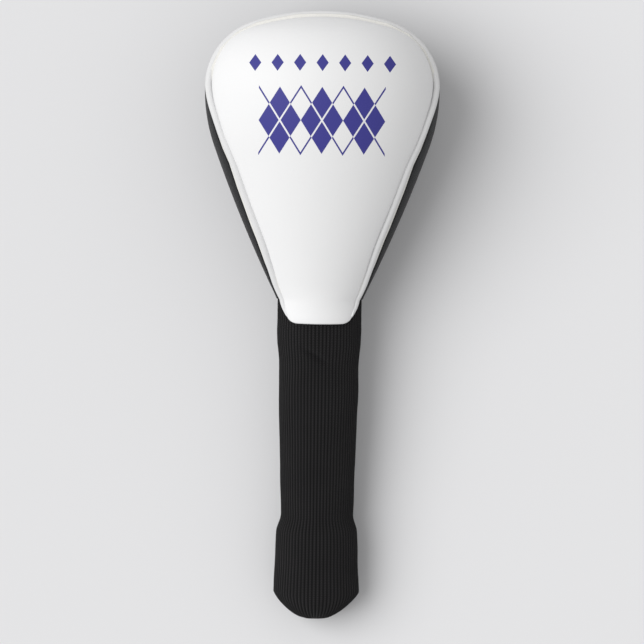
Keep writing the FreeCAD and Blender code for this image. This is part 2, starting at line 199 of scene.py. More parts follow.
class NodeSheet:
    """A short way to write a material's nodes."""

    def __init__(self, name: str) -> None:
        """Start a material with an empty principled surface."""
        self.material = bpy.data.materials.new(name)
        self.material.use_nodes = True
        self.tree = self.material.node_tree
        self.surface = self.tree.nodes["Principled BSDF"]

    def add(self, kind: str, inputs: Optional[dict] = None, **settings: object) -> bpy.types.Node:
        """Add a node.

        Args:
            kind: the node's type, without its ShaderNode prefix.
            inputs: sockets by name or number, each a value or another node's socket.
            **settings: the node's own properties.

        Returns:
            The node.
        """
        node = self.tree.nodes.new("ShaderNode" + kind)
        for key, value in settings.items():
            setattr(node, key, value)
        for key, value in (inputs or {}).items():
            self.feed(node.inputs[key], value)
        return node

    def feed(self, socket: bpy.types.NodeSocket, value: object) -> None:
        """Give a socket a value, or link another node's socket to it."""
        if isinstance(value, bpy.types.NodeSocket):
            self.tree.links.new(value, socket)
        else:
            socket.default_value = value

    def sum_up(self, operation: str, *values: object) -> bpy.types.NodeSocket:
        """The result of a sum on numbers or sockets."""
        return self.add("Math", dict(enumerate(values)), operation=operation).outputs[0]

    def cloth_place(self, layer: str) -> bpy.types.Node:
        """The piece's own cloth coordinates as separate axes."""
        return self.add("SeparateXYZ", {0: self.add("UVMap", uv_map=layer).outputs[0]})

    def noise(self, scale: float, detail: float = 3.0, roughness: float = 0.55) -> bpy.types.NodeSocket:
        """Even noise in object space, as a number from 0 to 1."""
        coordinate = self.add("TexCoord").outputs["Object"]
        return self.add("TexNoise", {"Vector": coordinate, "Scale": scale, "Detail": detail,
                                     "Roughness": roughness}).outputs["Fac"]

    def bump(self, height: object, distance: float, strength: float = 1.0,
             under: Optional[bpy.types.NodeSocket] = None) -> bpy.types.NodeSocket:
        """Relief of a height in metres, laid over other relief if given."""
        inputs = {"Height": height, "Distance": distance, "Strength": strength}
        if under is not None:
            inputs["Normal"] = under
        return self.add("Bump", inputs).outputs[0]

    def tint(self, share: object, low: Sequence[float], high: Sequence[float]) -> bpy.types.NodeSocket:
        """A colour between two, by a share from 0 to 1."""
        mix = self.add("Mix", {0: share}, data_type="RGBA")
        mix.inputs[6].default_value = (*low, 1.0)
        mix.inputs[7].default_value = (*high, 1.0)
        return mix.outputs[2]

    def finish(self, **sockets: object) -> bpy.types.Material:
        """Set the surface's sockets, named with _ for spaces, and return the material."""
        for name, value in sockets.items():
            self.feed(self.surface.inputs[name.replace("_", " ")], value)
        return self.material


@dataclass(frozen=True)
class Finish:
    """What a piece is covered in; each kind makes its own material once."""

    slot: str

    def material(self) -> bpy.types.Material:
        """The finish's material, made at its first use."""
        name = type(self).__name__ + "_" + self.slot
        return bpy.data.materials.get(name) or self.make(NodeSheet(name))

    def make(self, sheet: NodeSheet) -> bpy.types.Material:
        """Write the finish's nodes."""
        raise NotImplementedError


@dataclass(frozen=True)
class CoatedLeather(Finish):
    """White coated leather: fine pebble grain, faint clouding and a soft shine."""

    slot: str = "white_coated_leather"
    light: tuple = (0.84, 0.84, 0.842)
    shade: tuple = (0.815, 0.815, 0.818)
    cloud: float = 18.0
    grain: float = 900.0
    grain_slope: float = 3.0
    grain_height: float = 0.00003
    wave: float = 140.0
    wave_height: float = 0.00012
    roughness: float = 0.55

    def make(self, sheet: NodeSheet) -> bpy.types.Material:
        """Grain from small cells, broken by noise."""
        coordinate = sheet.add("TexCoord").outputs["Object"]
        cells = sheet.add("TexVoronoi", {"Vector": coordinate, "Scale": self.grain},
                          feature="DISTANCE_TO_EDGE").outputs["Distance"]
        pebble = sheet.sum_up("MINIMUM", sheet.sum_up("MULTIPLY", cells, self.grain_slope), 1.0)
        base = sheet.tint(sheet.noise(self.cloud), self.shade, self.light)
        relief = sheet.bump(pebble, self.grain_height, 0.5)
        relief = sheet.bump(sheet.noise(self.wave), self.wave_height, 0.5, under=relief)
        return sheet.finish(Base_Color=self.decorate(sheet, base), Roughness=self.roughness,
                            Normal=relief, Specular_IOR_Level=0.3)

    def decorate(self, sheet: NodeSheet, base: bpy.types.NodeSocket) -> bpy.types.NodeSocket:
        """The colour with what is printed on it: nothing on plain leather."""
        return base


@dataclass(frozen=True)
class PrintedLeather(CoatedLeather):
    """The same leather with a printed argyle: a band of large lozenges under a row of small ones."""

    ink: tuple = (0.047, 0.045, 0.262)
    band_at: float = 0.1085
    band_pitch: float = 0.0235
    band_half_height: float = 0.0185
    band_count: int = 3
    line_share: float = 0.045
    row_at: float = 0.1405
    row_pitch: float = 0.0125
    row_half_width: float = 0.0034
    row_half_height: float = 0.0048
    row_count: int = 7

    @staticmethod
    def lozenge(sheet: NodeSheet, across: object, up: object, half_width: float,
                half_height: float) -> bpy.types.NodeSocket:
        """1 on a lozenge's edge, less inside it and more outside.

        Args:
            sheet: the material's nodes.
            across: distance from the lozenge's middle, sideways.
            up: distance from its middle, upwards.
            half_width: half of the lozenge's width.
            half_height: half of its height.

        Returns:
            The socket of the result.
        """
        wide = sheet.sum_up("DIVIDE", sheet.sum_up("ABSOLUTE", across), half_width)
        tall = sheet.sum_up("DIVIDE", sheet.sum_up("ABSOLUTE", up), half_height)
        return sheet.sum_up("ADD", wide, tall)

    def decorate(self, sheet: NodeSheet, base: bpy.types.NodeSocket) -> bpy.types.NodeSocket:
        """Print the lozenges, with thin lines that change colour as they cross them."""
        place = sheet.add("SeparateXYZ", {0: sheet.add("TexCoord").outputs["Object"]})
        across, along = place.outputs[0], place.outputs[1]
        half = self.band_pitch / 2
        up = sheet.sum_up("SUBTRACT", along, self.band_at)
        wrapped = sheet.sum_up("WRAP", across, half, -half)
        shifted = sheet.sum_up("WRAP", sheet.sum_up("ADD", across, half), half, -half)
        solid = self.lozenge(sheet, wrapped, up, half, self.band_half_height)
        solid = sheet.sum_up("LESS_THAN", solid, 1.0)
        line = self.lozenge(sheet, shifted, up, half, self.band_half_height)
        line = sheet.sum_up("LESS_THAN", sheet.sum_up("ABSOLUTE", sheet.sum_up("SUBTRACT", line, 1.0)),
                            self.line_share)
        crossed = sheet.sum_up("ABSOLUTE", sheet.sum_up("SUBTRACT", solid, line))
        inside = sheet.sum_up("LESS_THAN", sheet.sum_up("ABSOLUTE", across), half * self.band_count)
        band = sheet.sum_up("MULTIPLY", crossed, inside)
        small = sheet.sum_up("WRAP", across, self.row_pitch / 2, -self.row_pitch / 2)
        row = self.lozenge(sheet, small, sheet.sum_up("SUBTRACT", along, self.row_at),
                           self.row_half_width, self.row_half_height)
        row = sheet.sum_up("LESS_THAN", row, 1.0)
        inside = sheet.sum_up("LESS_THAN", sheet.sum_up("ABSOLUTE", across),
                              self.row_pitch * self.row_count / 2)
        ink = sheet.sum_up("MAXIMUM", band, sheet.sum_up("MULTIPLY", row, inside))
        mix = sheet.add("Mix", {0: ink, 6: base}, data_type="RGBA")
        mix.inputs[7].default_value = (*self.ink, 1.0)
        return mix.outputs[2]


@dataclass(frozen=True)
class PipingLeather(CoatedLeather):
    """The piping's thinner leather, a shade greyer than the panel."""

    light: tuple = (0.73, 0.73, 0.733)
    shade: tuple = (0.7, 0.7, 0.703)


@dataclass(frozen=True)
class WovenMesh(Finish):
    """Black coated mesh: a fine open weave with a soft sheen."""

    slot: str = "black_woven_mesh"
    thread: float = 0.0009
    thread_height: float = 0.00012
    wave: float = 90.0
    wave_height: float = 0.0003
    dark: tuple = (0.003, 0.003, 0.0035)
    pale: tuple = (0.018, 0.0185, 0.0205)

    def make(self, sheet: NodeSheet) -> bpy.types.Material:
        """Crossing threads from the cloth's own coordinates."""
        cloth = sheet.cloth_place("Cloth")
        turns = 2 * math.pi / self.thread
        waves = [sheet.sum_up("SINE", sheet.sum_up("MULTIPLY", cloth.outputs[axis], turns))
                 for axis in (0, 1)]
        weave = sheet.sum_up("MULTIPLY_ADD", sheet.sum_up("MULTIPLY", *waves), 0.5, 0.5)
        relief = sheet.bump(weave, self.thread_height, 0.8)
        relief = sheet.bump(sheet.noise(self.wave), self.wave_height, 0.4, under=relief)
        return sheet.finish(Base_Color=sheet.tint(weave, self.dark, self.pale), Roughness=0.5, Normal=relief,
                            Specular_IOR_Level=0.12, Sheen_Weight=0.04, Sheen_Roughness=0.4)


@dataclass(frozen=True)
class RibKnit(Finish):
    """Black rib knit: every rib is a column of small chevron stitches, its grooves darkened with painted
    shade.
    """

    slot: str = "black_rib_knit"
    # Groove colour: painted shade in the hollows between stitches; crest colour: the yarn on the stitch
    # crests.
    shaded_groove: tuple = (0.0015, 0.0015, 0.0018)
    crest: tuple = (0.036, 0.0345, 0.036)
    slant: float = 1.4
    stitch_height: float = 0.00035
    # How sharply the painted shade deepens into the grooves.
    groove_shade_power: float = 1.6
    fuzz: float = 1500.0
    fuzz_height: float = 0.00015
    cloud: float = 60.0

    def make(self, sheet: NodeSheet) -> bpy.types.Material:
        """Stitches from the cloth's own coordinates, counted in ribs and courses; the colour darkens from the
        crests into the grooves as painted shade, under a random clouding.
        """
        cloth = sheet.cloth_place("Cloth")
        across = sheet.sum_up("FRACT", cloth.outputs[0])
        lean = sheet.sum_up("ABSOLUTE", sheet.sum_up("SUBTRACT", across, 0.5))
        course = sheet.sum_up("FRACT", sheet.sum_up("MULTIPLY_ADD", lean, self.slant, cloth.outputs[1]))
        loop = sheet.sum_up("SINE", sheet.sum_up("MULTIPLY", course, math.pi))
        crown = sheet.sum_up("SUBTRACT", 1.0, sheet.sum_up("MULTIPLY", lean, 2.0))
        height = sheet.sum_up("MULTIPLY", loop, sheet.sum_up("POWER", crown, 0.5))
        relief = sheet.bump(height, self.stitch_height, 0.9)
        relief = sheet.bump(sheet.noise(self.fuzz, 2.0), self.fuzz_height, 0.5, under=relief)
        # Painted shade: the base colour follows the stitch height and is darkest in the grooves; the noise is
        # random clouding of the yarn.
        shade = sheet.sum_up("MULTIPLY", sheet.sum_up("POWER", height, self.groove_shade_power),
                             sheet.sum_up("MULTIPLY_ADD", sheet.noise(self.cloud), 0.5, 0.75))
        return sheet.finish(Base_Color=sheet.tint(shade, self.shaded_groove, self.crest), Roughness=0.85,
                            Normal=relief, Specular_IOR_Level=0.15, Sheen_Weight=0.05,
                            Sheen_Roughness=0.45)


@dataclass(frozen=True)
class PlainCloth(Finish):
    """Lining, foam, tape, elastic or cord: a fine texture in object space."""

    dark: tuple = (0.02, 0.02, 0.022)
    pale: tuple = (0.04, 0.04, 0.044)
    scale: float = 900.0
    roughness: float = 0.9
    height: float = 0.0001

    def make(self, sheet: NodeSheet) -> bpy.types.Material:
        """Close noise for the fibres or cells."""
        fibre = sheet.noise(self.scale, 4.0, 0.7)
        return sheet.finish(Base_Color=sheet.tint(fibre, self.dark, self.pale), Roughness=self.roughness,
                            Normal=sheet.bump(fibre, self.height, 0.8), Sheen_Weight=0.2)


PRINTED_LEATHER = PrintedLeather()
PIPING_LEATHER = PipingLeather()
BLACK_MESH = WovenMesh()
BLACK_KNIT = RibKnit()
INNER_FINISHES = {
    "padding_foam": PlainCloth("padding_foam", (0.6, 0.59, 0.55), (0.8, 0.79, 0.75), 700.0),
    "brushed_lining": PlainCloth("brushed_lining", (0.08, 0.08, 0.09), (0.15, 0.15, 0.16), 1500.0),
    "seam_tape": PlainCloth("seam_tape"),
    "elastic": PlainCloth("elastic", (0.02, 0.02, 0.02), (0.035, 0.035, 0.035), 500.0, 0.7),
    "filler_cord": PlainCloth("filler_cord", (0.7, 0.69, 0.66), (0.85, 0.84, 0.8), 1100.0),
    "black_rib_knit": PlainCloth("black_rib_knit", (0.01, 0.01, 0.01), (0.02, 0.02, 0.02)),
}


@dataclass(frozen=True)
class HeadForm:
    """The stuffed outside of the padded head, drawn about the centre line."""

    half_width: float = 66.2 * MM
    flatness: float = 0.74
    widest_at: float = 128 * MM
    crown_radius: float = 126 * MM
    shoulder_radius: float = 40 * MM
    belly_radius: float = 95 * MM
    belly_turn: float = math.radians(19.5)
    taper_radius: float = 800 * MM
    neck_at: float = 10.3 * MM
    seam_line: tuple = ((-30, 13.5), (-6, 13.5), (-0.1, 11.5), (9, 8.3), (15, 8.7), (21, 10), (44, 15.4),
                        (88, 20.8), (114, 18.6), (128, 12.6), (150, 9.5), (200, 9.5))
    seam_ease: tuple = ((10, 4), (44, 11))
    neck_ease: tuple = ((20, 8), (40, 0))
    seam_points: int = 500
    press_reach: float = 40.0
    press_rounds: int = 48

    @property
    def crown_drop(self) -> float:
        """How far the crown's centre lies below the widest place."""
        return math.sqrt((self.crown_radius - self.shoulder_radius) ** 2
                         - (self.half_width - self.shoulder_radius) ** 2)

    @property
    def crown_at(self) -> float:
        """Where the crown's tip lies."""
        return self.widest_at + self.crown_radius - self.crown_drop

    def half_width_at(self, at: np.ndarray) -> np.ndarray:
        """Half width of the head at places along the centre line."""
        at = np.clip(at, self.neck_at, self.crown_at)
        belly_out = self.half_width - self.belly_radius
        slack = self.belly_radius - self.taper_radius
        shoulder_out = self.half_width - self.shoulder_radius
        shoulder_turn = math.atan2(self.crown_drop, shoulder_out)
        arcs = (
            (belly_out + slack * math.cos(self.belly_turn),
             self.widest_at - slack * math.sin(self.belly_turn), self.taper_radius),
            (belly_out, self.widest_at, self.belly_radius),
            (shoulder_out, self.widest_at, self.shoulder_radius),
            (0.0, self.widest_at - self.crown_drop, self.crown_radius),
        )
        widths = [out + np.sqrt(np.maximum(radius ** 2 - (at - middle) ** 2, 0.0))
                  for out, middle, radius in arcs]
        ends = (self.widest_at - self.belly_radius * math.sin(self.belly_turn), self.widest_at,
                self.widest_at + self.shoulder_radius * math.sin(shoulder_turn))
        return np.select([at < end for end in ends], widths[:3], widths[3])

    def draped_width_at(self, at: np.ndarray) -> np.ndarray:
        """Half width with the neck's bend eased, as a stiff panel lies over it."""
        ease = by_place(at, self.neck_ease)
        return np.mean([self.half_width_at(at + share * ease) for share in EASE_STEPS], axis=0)

    def seam_height(self, at: np.ndarray) -> np.ndarray:
        """Height of the side seam over the centre line, eased round its bends."""
        weights = 1 - np.abs(EASE_STEPS) * 0.9
        ease = by_place(at, self.seam_ease)
        heights = sum(weight * by_place(at + share * ease, self.seam_line)
                      for share, weight in zip(EASE_STEPS, weights))
        return heights / weights.sum()

    def normals(self, points: np.ndarray) -> np.ndarray:
        """Outward normals of the head at points on it."""
        step = 0.2 * MM
        at = points[:, 1]
        width = self.half_width_at(at)
        slope = (self.half_width_at(at + step) - self.half_width_at(at - step)) / (2 * step)
        slope = np.where(at > self.neck_at, slope, 0.0)
        normal = np.stack([points[:, 0], -width * slope, points[:, 2] / self.flatness ** 2], axis=1)
        tip = np.linalg.norm(normal, axis=1) < 1e-9
        normal[tip] = (0.0, 1.0, 0.0)
        return normal / np.linalg.norm(normal, axis=1, keepdims=True)

    def seam(self, start: float, over: tuple) -> np.ndarray:
        """The right half of the side seam, from a place by the neck to the middle of the crown.

        Args:
            start: where it starts, along the centre line.
            over: how far it lies above the true seam, as places and heights in millimetres.

        Returns:
            Points on the head's surface.
        """
        crown = np.array([self.crown_at])
        top = float((self.seam_height(crown) + by_place(crown, over))[0])
        rise = math.sqrt(self.crown_radius ** 2 - (top / self.flatness) ** 2)
        end = self.widest_at - self.crown_drop + rise
        at = start + (end - start) * np.sin(np.linspace(0, math.pi / 2, self.seam_points))
        height = self.seam_height(at) + by_place(at, over)
        out = np.sqrt(np.maximum(self.half_width_at(at) ** 2 - (height / self.flatness) ** 2, 0.0))
        out[-1] = 0.0
        return np.stack([out, at, height], axis=1)

    def press_out(self, points: np.ndarray) -> np.ndarray:
        """Move points straight out from the middle until they lie on the head."""
        middle = np.zeros_like(points)
        middle[:, 1] = np.minimum(points[:, 1], self.widest_at)
        ray = points - middle
        low, high = np.zeros(len(points)), np.full(len(points), self.press_reach)
        for _ in range(self.press_rounds):
            mid = (low + high) / 2
            spot = middle + ray * mid[:, None]
            width = np.where(spot[:, 1] > self.crown_at, 0.0, self.half_width_at(spot[:, 1]))
            outside = spot[:, 0] ** 2 + (spot[:, 2] / self.flatness) ** 2 > width ** 2
            high = np.where(outside, mid, high)
            low = np.where(outside, low, mid)
        return middle + ray * low[:, None]


def boundary(mesh: bpy.types.Mesh) -> list[int]:
    """Vertices on a sheet's open edges."""
    used = {}
    for polygon in mesh.polygons:
        for key in polygon.edge_keys:
            used[key] = used.get(key, 0) + 1
    return sorted({vert for key, count in used.items() if count == 1 for vert in key})


def turn_round(piece: bpy.types.Object, outward: Callable[[Vector, Vector], bool]) -> None:
    """Flip a sheet's faces if most of them don't face the wanted way."""
    faces = piece.data.polygons
    votes = sum(1 if outward(face.center, face.normal) else -1 for face in faces)
    if votes < 0:
        piece.data.flip_normals()


def face_up(piece: bpy.types.Object) -> None:
    """Turn a sheet's faces upwards."""
    turn_round(piece, lambda middle, normal: normal.z > 0)


def face_out(piece: bpy.types.Object) -> None:
    """Turn a sheet's faces away from the middle of the head."""
    core = LINE.at(100 * MM)
    turn_round(piece, lambda middle, normal: normal.dot(middle - core) > 0)


@dataclass(frozen=True)
class Swelling:
    """How a sheet is blown out between its pinned edges by a short cloth simulation."""

    pressure: float
    cap: float
    frames: int = 20
    quality: int = 6
    mass: float = 0.2
    stretch: float = 18.0
    shear: float = 6.0
    bending: float = 1.5

    def apply(self, piece: bpy.types.Object) -> None:
        """Swell a sheet, and keep the result in its mesh.

        Args:
            piece: the sheet, none of whose points moves further than the cap.
        """
        mesh = piece.data
        rest = np.array([vert.co for vert in mesh.vertices], float)
        moved = self.run(piece) - rest
        length = np.linalg.norm(moved, axis=1)
        LOG.info("%s swells by up to %.1f mm", piece.name, length.max() / MM)
        moved *= (np.tanh(length / self.cap) * self.cap / np.maximum(length, 1e-9))[:, None]
        mesh.vertices.foreach_set("co", (rest + moved).ravel())
        mesh.update()

    def run(self, piece: bpy.types.Object) -> np.ndarray:
        """Run the simulation, take it off the piece again and return where its points went."""
        pinned = piece.vertex_groups.new(name="pinned")
        pinned.add(boundary(piece.data), 1.0, "REPLACE")
        modifier = piece.modifiers.new("swell", "CLOTH")
        cloth = modifier.settings
        cloth.quality = self.quality
        cloth.mass = self.mass
        cloth.tension_stiffness = self.stretch
        cloth.compression_stiffness = self.stretch
        cloth.shear_stiffness = self.shear
        cloth.bending_stiffness = self.bending
        cloth.use_pressure = True
        cloth.uniform_pressure_force = self.pressure
        cloth.vertex_group_mass = pinned.name
        cloth.effector_weights.gravity = 0.0
        modifier.point_cache.frame_start = 1
        modifier.point_cache.frame_end = self.frames
        scene = bpy.context.scene
        for number in range(1, self.frames + 1):
            scene.frame_set(number)
        shown = piece.evaluated_get(bpy.context.evaluated_depsgraph_get())
        spots = np.array([vert.co for vert in shown.to_mesh().vertices], float)
        shown.to_mesh_clear()
        piece.modifiers.remove(modifier)
        piece.vertex_groups.clear()
        scene.frame_set(1)
        return spots


def rest_on_ground(piece: bpy.types.Object, gap: float = 0.05 * MM) -> None:
    """Press flat what would reach below the ground."""
    for vert in piece.data.vertices:
        vert.co.z = max(vert.co.z, gap)


def thicken(piece: bpy.types.Object, wall: float) -> None:
    """Smooth a sheet and give it its wall, on its inner side."""
    smooth = piece.modifiers.new("smooth", "SUBSURF")
    smooth.levels = 1
    smooth.render_levels = 1
    skin = piece.modifiers.new("skin", "SOLIDIFY")
    skin.thickness = wall
    skin.offset = -1.0


def hand_over(piece: bpy.types.Object, part: Optional[Part], finish: Finish, *nodes: str) -> None:
    """Let a piece ride on its part and stand for the frame's own solids.

    Args:
        piece: the piece.
        part: the part that it rides on, or None where it already follows one.
        finish: what it is covered in; not used.
        *nodes: the solids that it stands for.
    """
    if part is not None:
        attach(piece, part.value)
    if nodes:
        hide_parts(*nodes)
    LOG.info("%s: %d faces", piece.name, len(piece.data.polygons))


@dataclass
class PaddedHead:
    """The padded head: the front panel, the two halves of the back, and the piping round the seam."""

    form: HeadForm = field(default_factory=HeadForm)
    tongue_end: float = -2.7 * MM
    tongue_turn: float = 4.6 * MM
    tongue_flat: float = 12.6 * MM
    crown_corner_at: float = 157 * MM
    seam_dip: float = 1.5 * MM
    dip_width: float = 3.2 * MM
    panel_over_seam: tuple = ((0, 1.0), (20, 1.4), (40, 1.8), (100, 1.8), (128, 1.2), (160, -1.8))
    back_under_seam: tuple = ((0, -1.2), (20, -0.9), (40, -0.3), (100, -0.3), (128, -1.2), (160, -4.1))
    skin: float = 0.9 * MM
    piping_start: float = 0.4 * MM
    piping_over_seam: tuple = ((-1, 0.9), (8, 0.5), (20, 0.5), (40, 1.0), (100, 1.0), (122, 0.2), (128, 0.0),
                               (160, -3.0))
    piping_sink: tuple = ((-1, 0.9), (10, 0.6), (24, 1.0), (100, 1.1), (118, 0.5), (130, 0.25), (160, 0.6))
    piping_radii: tuple = ((0.4, 0.3), (1.6, 0.8), (5, 1.3), (10, 1.75), (20, 2.1))
    front_cells: tuple = (60, 104)
    back_cells: tuple = (56, 100)
    front_swell: Swelling = Swelling(pressure=2.6, cap=2.2 * MM)
    back_swell: Swelling = Swelling(pressure=1.0, cap=0.7 * MM)
    tongue_fade: float = 12 * MM
    tongue_dip: float = 0.25
    back_overlap: float = 0.3 * MM
    middle_gap: float = 0.05 * MM
    bend_points: int = 40
    edge_points: int = 400
    back_points: int = 900
    bead_rings: int = 420
    bead_sides: int = 20

    def build(self) -> None:
        """Make and place every visible piece of the head."""
        self.front_panel()
        for side, name in ((-1, "left"), (1, "right")):
            self.back_panel(side, name)
        self.piping()

    def sink_seams(self, places: np.ndarray, reach: np.ndarray,
                   share: float | np.ndarray = 1.0) -> np.ndarray:
        """Press a patch in beside its seams.

        Args:
            places: points of the patch.
            reach: how far each lies from the nearest seam.
            share: how much of the dip each gets.

        Returns:
            The points' new places.
        """
        dip = self.seam_dip * (1 - smooth_step(reach / self.dip_width)) * share
        return places - self.form.normals(places) * dip[:, None]

    def front_patch(self, across: np.ndarray, up: np.ndarray) -> np.ndarray:
        """Places on the front panel for shares across and up it.

        Args:
            across: 0 at the left edge, 1 at the right edge.
            up: 0 at the tongue's end, 1 at the crown.

        Returns:
            Points seen from the front, with their height on the head.
        """
        turn_at = self.tongue_end + self.tongue_turn
        edge = self.form.seam(turn_at, self.panel_over_seam)[:, :2]
        corner = int(np.searchsorted(edge[:, 1], self.crown_corner_at))
        side, crown_half = edge[:corner + 1], edge[corner:]
        sweep = np.linspace(0, math.pi / 2, self.bend_points)
        bend = np.stack([self.tongue_flat + (side[0, 0] - self.tongue_flat) * np.sin(sweep),
                         turn_at - self.tongue_turn * np.cos(sweep)], axis=1)
        mirror = np.array([-1.0, 1.0])
        foot = resample(np.concatenate([bend[::-1] * mirror, bend]), self.edge_points)
        crown = resample(np.concatenate([crown_half * mirror, crown_half[::-1][1:]]), self.edge_points)
        right = resample(side, self.edge_points)
        left = right * mirror
        a, b = across[:, None], up[:, None]
        plan = ((1 - b) * spots_along(foot, across) + b * spots_along(crown, across)
                + (1 - a) * spots_along(left, up) + a * spots_along(right, up)
                - (1 - a) * (1 - b) * foot[0] - a * (1 - b) * foot[-1]
                - (1 - a) * b * crown[0] - a * b * crown[-1])
        width = self.form.half_width_at(plan[:, 1])
        height = self.form.flatness * np.sqrt(np.maximum(width ** 2 - plan[:, 0] ** 2, 0.0))
        middle = self.form.flatness * np.maximum(width, 0.1 * MM)
        drape = self.form.flatness * (self.form.draped_width_at(plan[:, 1]) - width)
        return np.column_stack([plan, height + drape * (height / middle) ** 2])

    def front_panel(self) -> None:
        """The white panel: one sheet from the tongue to the crown, swelled between its seams."""
        bm = bmesh.new()
        bmesh.ops.create_grid(bm, x_segments=self.front_cells[0], y_segments=self.front_cells[1], size=0.5)
        share = coordinates(bm)[:, :2] + 0.5
        places = self.front_patch(share[:, 0], share[:, 1])
        rim = self.front_patch(np.where(share[:, 0] < 0.5, 0.0, 1.0), share[:, 1])
        ends = self.front_patch(share[:, 0], np.where(share[:, 1] < 0.5, 0.0, 1.0))
        reach = np.minimum(np.linalg.norm(places - rim, axis=1), np.linalg.norm(places - ends, axis=1))
        fade = smooth_step((places[:, 1] - self.tongue_end - self.tongue_turn) / self.tongue_fade)
        places = self.sink_seams(places, reach, self.tongue_dip + (1 - self.tongue_dip) * fade)
        move_to(bm, places)
        bmesh.ops.recalc_face_normals(bm, faces=bm.faces)
        panel = add_piece("front_cover_panel", bm, PRINTED_LEATHER)
        face_up(panel)
        self.front_swell.apply(panel)
        thicken(panel, self.skin)
        hand_over(panel, Part.HEAD, PRINTED_LEATHER, "front_panel")

    def back_panel(self, side: int, name: str) -> None:
        """One half of the black back, from the side seam round to the seam down its middle.

        Args:
            side: -1 for the left half, 1 for the right.
            name: the side's name.
        """
        start = self.form.neck_at - self.back_overlap
        seam = self.form.seam(start, self.back_under_seam)
        low = np.linspace(start, self.form.crown_at, self.edge_points)
        under = np.column_stack([np.zeros_like(low), low, -self.form.flatness * self.form.half_width_at(low)])
        tip = np.array([[0.0, self.form.crown_at, 0.0]])
        middle = self.form.press_out(resample(np.concatenate([under, tip, seam[-1:]]), self.back_points))
        seam, middle = resample(seam, self.back_points), resample(middle, self.back_points)
        bm = bmesh.new()
        layer = bm.loops.layers.uv.new("Cloth")
        columns, rows = self.back_cells
        bmesh.ops.create_grid(bm, x_segments=columns, y_segments=rows, size=0.5)
        share = coordinates(bm)[:, :2] + 0.5
        at_seam, at_middle = (spots_along(line, share[:, 1]) for line in (seam, middle))
        blend = share[:, 0:1]
        places = self.form.press_out(at_seam * (1 - blend) + at_middle * blend)
        places = np.where(blend < 1e-6, at_seam, np.where(blend > 1 - 1e-6, at_middle, places))
        reach = np.minimum(np.linalg.norm(places - at_seam, axis=1),
                           np.linalg.norm(places - at_middle, axis=1))
        places = self.sink_seams(places, reach)
        places[:, 0] = np.maximum(places[:, 0], self.middle_gap)
        cloth = np.column_stack([np.linalg.norm(places - at_seam, axis=1), places[:, 1]])
        places[:, 0] *= side
        move_to(bm, places)
        bm.verts.index_update()
        for face in bm.faces:
            for loop in face.loops:
                loop[layer].uv = cloth[loop.vert.index]
        bmesh.ops.recalc_face_normals(bm, faces=bm.faces)
        panel = add_piece("back_cover_" + name, bm, BLACK_MESH)
        face_out(panel)
        self.back_swell.apply(panel)
        rest_on_ground(panel)
        thicken(panel, self.skin)
        hand_over(panel, Part.HEAD, BLACK_MESH, "back_panel_" + name)

    def piping(self) -> None:
        """The white piping: a soft round bead along the side seam that runs out at the tongue."""
        half = self.form.seam(self.piping_start, self.piping_over_seam)
        half = half - self.form.normals(half) * by_place(half[:, 1], self.piping_sink)[:, None]
        whole = np.concatenate([half * (-1, 1, 1), half[::-1][1:]])
        spots = resample(whole, self.bead_rings)
        frames = [self.bead_frame(*values) for values in
                  zip(spots, np.gradient(spots, axis=0), self.form.normals(spots),
                      by_place(spots[:, 1], self.piping_radii))]
        bm = bmesh.new()
        start = bmesh.ops.create_circle(bm, cap_ends=True, segments=self.bead_sides, radius=1.0)["verts"]
        rim = list(bm.edges)
        bmesh.ops.transform(bm, matrix=frames[0], space=Matrix.Identity(4), verts=start)
        for previous, current in zip(frames, frames[1:]):
            grown = bmesh.ops.extrude_edge_only(bm, edges=rim)["geom"]
            ring = [item for item in grown if isinstance(item, bmesh.types.BMVert)]
            rim = [item for item in grown if isinstance(item, bmesh.types.BMEdge)
                   and all(vert in ring for vert in item.verts)]
            bmesh.ops.transform(bm, matrix=current @ previous.inverted(), space=Matrix.Identity(4),
                                verts=ring)
        bmesh.ops.holes_fill(bm, edges=rim, sides=0)
        bmesh.ops.recalc_face_normals(bm, faces=bm.faces)
        bead = add_piece("piping_bead", bm, PIPING_LEATHER)
        hand_over(bead, Part.HEAD, PIPING_LEATHER, "piping_cover")

    @staticmethod
    def bead_frame(spot: np.ndarray, ahead: np.ndarray, outward: np.ndarray, radius: float) -> Matrix:
        """What brings a circle of radius 1 to the bead's section at a spot.

        Args:
            spot: the section's middle.
            ahead: which way the bead runs there.
            outward: the head's normal there.
            radius: the bead's radius there.

        Returns:
            The matrix.
        """
        tangent = Vector(ahead).normalized()
        out = Vector(outward)
        out = (out - tangent * out.dot(tangent)).normalized()
        turn = Matrix((out.cross(tangent), out, tangent)).transposed()
        return Matrix.Translation(Vector(spot)) @ (turn * float(radius)).to_4x4()


class Station(NamedTuple):
    """One corner of a knit wall's closed section."""

    at: float
    half_width: float
    flatness: float
    rib: float = 1.0
    dome: float = 0.0
    sharp: float = 0.0


